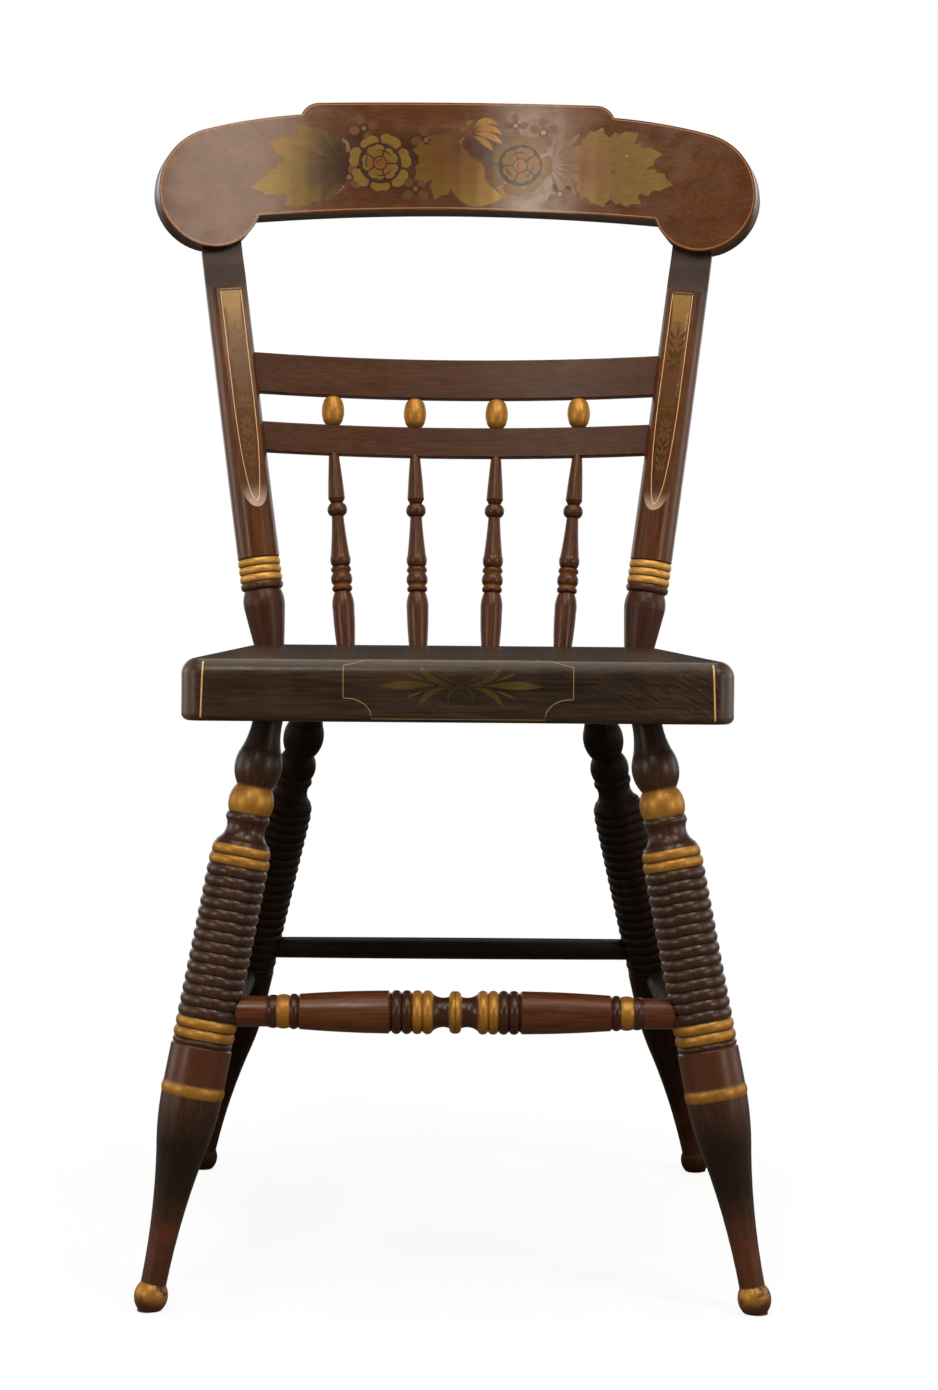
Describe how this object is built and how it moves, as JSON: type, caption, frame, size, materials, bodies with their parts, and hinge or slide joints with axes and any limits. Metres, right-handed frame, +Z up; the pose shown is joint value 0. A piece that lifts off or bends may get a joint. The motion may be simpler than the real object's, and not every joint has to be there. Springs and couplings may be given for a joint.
{
  "type": "side chair",
  "caption": "Painted wooden side chair with a plank seat, ring-turned splayed legs, turned stretchers, bent back posts, a stencilled crest rail, slats and turned spindles.",
  "frame": {"origin": "on the floor, under the middle of the whole chair's bounding box", "axes": "+Z up, +X to the chair's left as its sitter sits (right as seen from the front), +Y to the back, so the front of the seat faces -Y"},
  "size_m": [0.5036, 0.5154, 0.9108],
  "materials": {
    "seat_paint": "glossy painted wood, almost black brown, with fine yellow lines",
    "turned_leg": "satin dark stained wood with gilt rings",
    "rear_leg": "satin dark stained wood, plain",
    "turned_stretcher": "satin stained wood with gilt rings",
    "plain_stretcher": "satin dark stained wood, plain",
    "post_wood": "satin stained wood with gilt rings and a fine stencil on the flat front",
    "crest_wood": "satin stained wood with a leaf and rose stencil in bronze colours",
    "slat_wood": "satin stained wood",
    "spindle_wood": "satin stained wood with thin gilt lines",
    "gilt_bead": "bronze gilt wood"
  },
  "bodies": {
    "root": {"seat": "seat_paint", "front_leg_left": "turned_leg", "front_leg_right": "turned_leg", "rear_leg_left": "rear_leg", "rear_leg_right": "rear_leg", "front_stretcher": "turned_stretcher", "rear_stretcher": "plain_stretcher", "side_stretcher_left": "plain_stretcher", "side_stretcher_right": "plain_stretcher", "back_post_left": "post_wood", "back_post_right": "post_wood", "crest_rail": "crest_wood", "upper_slat": "slat_wood", "lower_slat": "slat_wood", "spindle_1": "spindle_wood", "spindle_2": "spindle_wood", "spindle_3": "spindle_wood", "spindle_4": "spindle_wood", "bead_1": "gilt_bead", "bead_2": "gilt_bead", "bead_3": "gilt_bead", "bead_4": "gilt_bead"}
  },
  "joints": []
}
